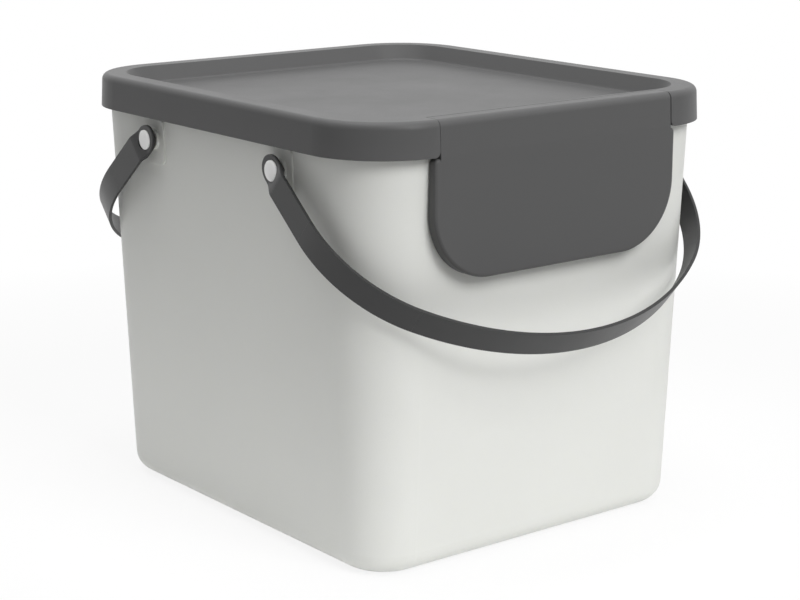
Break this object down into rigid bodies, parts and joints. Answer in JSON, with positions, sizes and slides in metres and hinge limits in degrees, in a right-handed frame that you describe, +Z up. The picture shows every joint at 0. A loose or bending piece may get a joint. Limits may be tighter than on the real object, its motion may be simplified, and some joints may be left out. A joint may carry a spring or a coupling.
{
  "type": "recycling bin",
  "caption": "Rectangular tapered recycling bin with a dished lift-off lid, a hinged throw-in flap at the front and two swinging strap handles.",
  "frame": {"origin": "centre of the footprint, on the floor under the base", "axes": "+Z up, the flap faces -Y, X runs across the width, Y along the depth"},
  "size_m": [0.3654, 0.483, 0.34],
  "materials": {
    "tub_plastic": "satin, fine moulded grain, slightly warm off-white",
    "lid_plastic": "satin, fine moulded grain, dark grey",
    "handle_plastic": "satin, dark grey",
    "button_plastic": "soft gloss, off-white"
  },
  "bodies": {
    "tub": {"tub": "tub_plastic", "pivot_button_front_left": "button_plastic", "pivot_button_front_right": "button_plastic", "pivot_button_rear_left": "button_plastic", "pivot_button_rear_right": "button_plastic"},
    "lid": {"lid": "lid_plastic"},
    "flap": {"flap": "lid_plastic"},
    "front_handle": {"front_handle_grip": "handle_plastic", "front_handle_eye_left": "handle_plastic", "front_handle_eye_right": "handle_plastic", "front_handle_leg_left": "handle_plastic", "front_handle_leg_right": "handle_plastic", "front_handle_shoulder_left": "handle_plastic", "front_handle_shoulder_right": "handle_plastic"},
    "rear_handle": {"rear_handle_grip": "handle_plastic", "rear_handle_eye_left": "handle_plastic", "rear_handle_eye_right": "handle_plastic", "rear_handle_leg_left": "handle_plastic", "rear_handle_leg_right": "handle_plastic", "rear_handle_shoulder_left": "handle_plastic", "rear_handle_shoulder_right": "handle_plastic"}
  },
  "joints": [
    {"name": "lid_lift", "type": "slide", "parent": "tub", "child": "lid", "axis": [0, 0, 1], "range_m": [0, 0.022]},
    {"name": "flap_hinge", "type": "hinge", "parent": "lid", "child": "flap", "pos_m": [0, -0.19152, 0.3345], "axis": [-1, 0, 0], "range_deg": [0, 100]},
    {"name": "front_handle_pivot", "type": "hinge", "parent": "tub", "child": "front_handle", "pos_m": [0, -0.08752, 0.2958], "axis": [-1, 0, 0], "range_deg": [0, 153]},
    {"name": "rear_handle_pivot", "type": "hinge", "parent": "tub", "child": "rear_handle", "pos_m": [0, 0.08752, 0.2958], "axis": [1, 0, 0], "range_deg": [0, 153]}
  ]
}
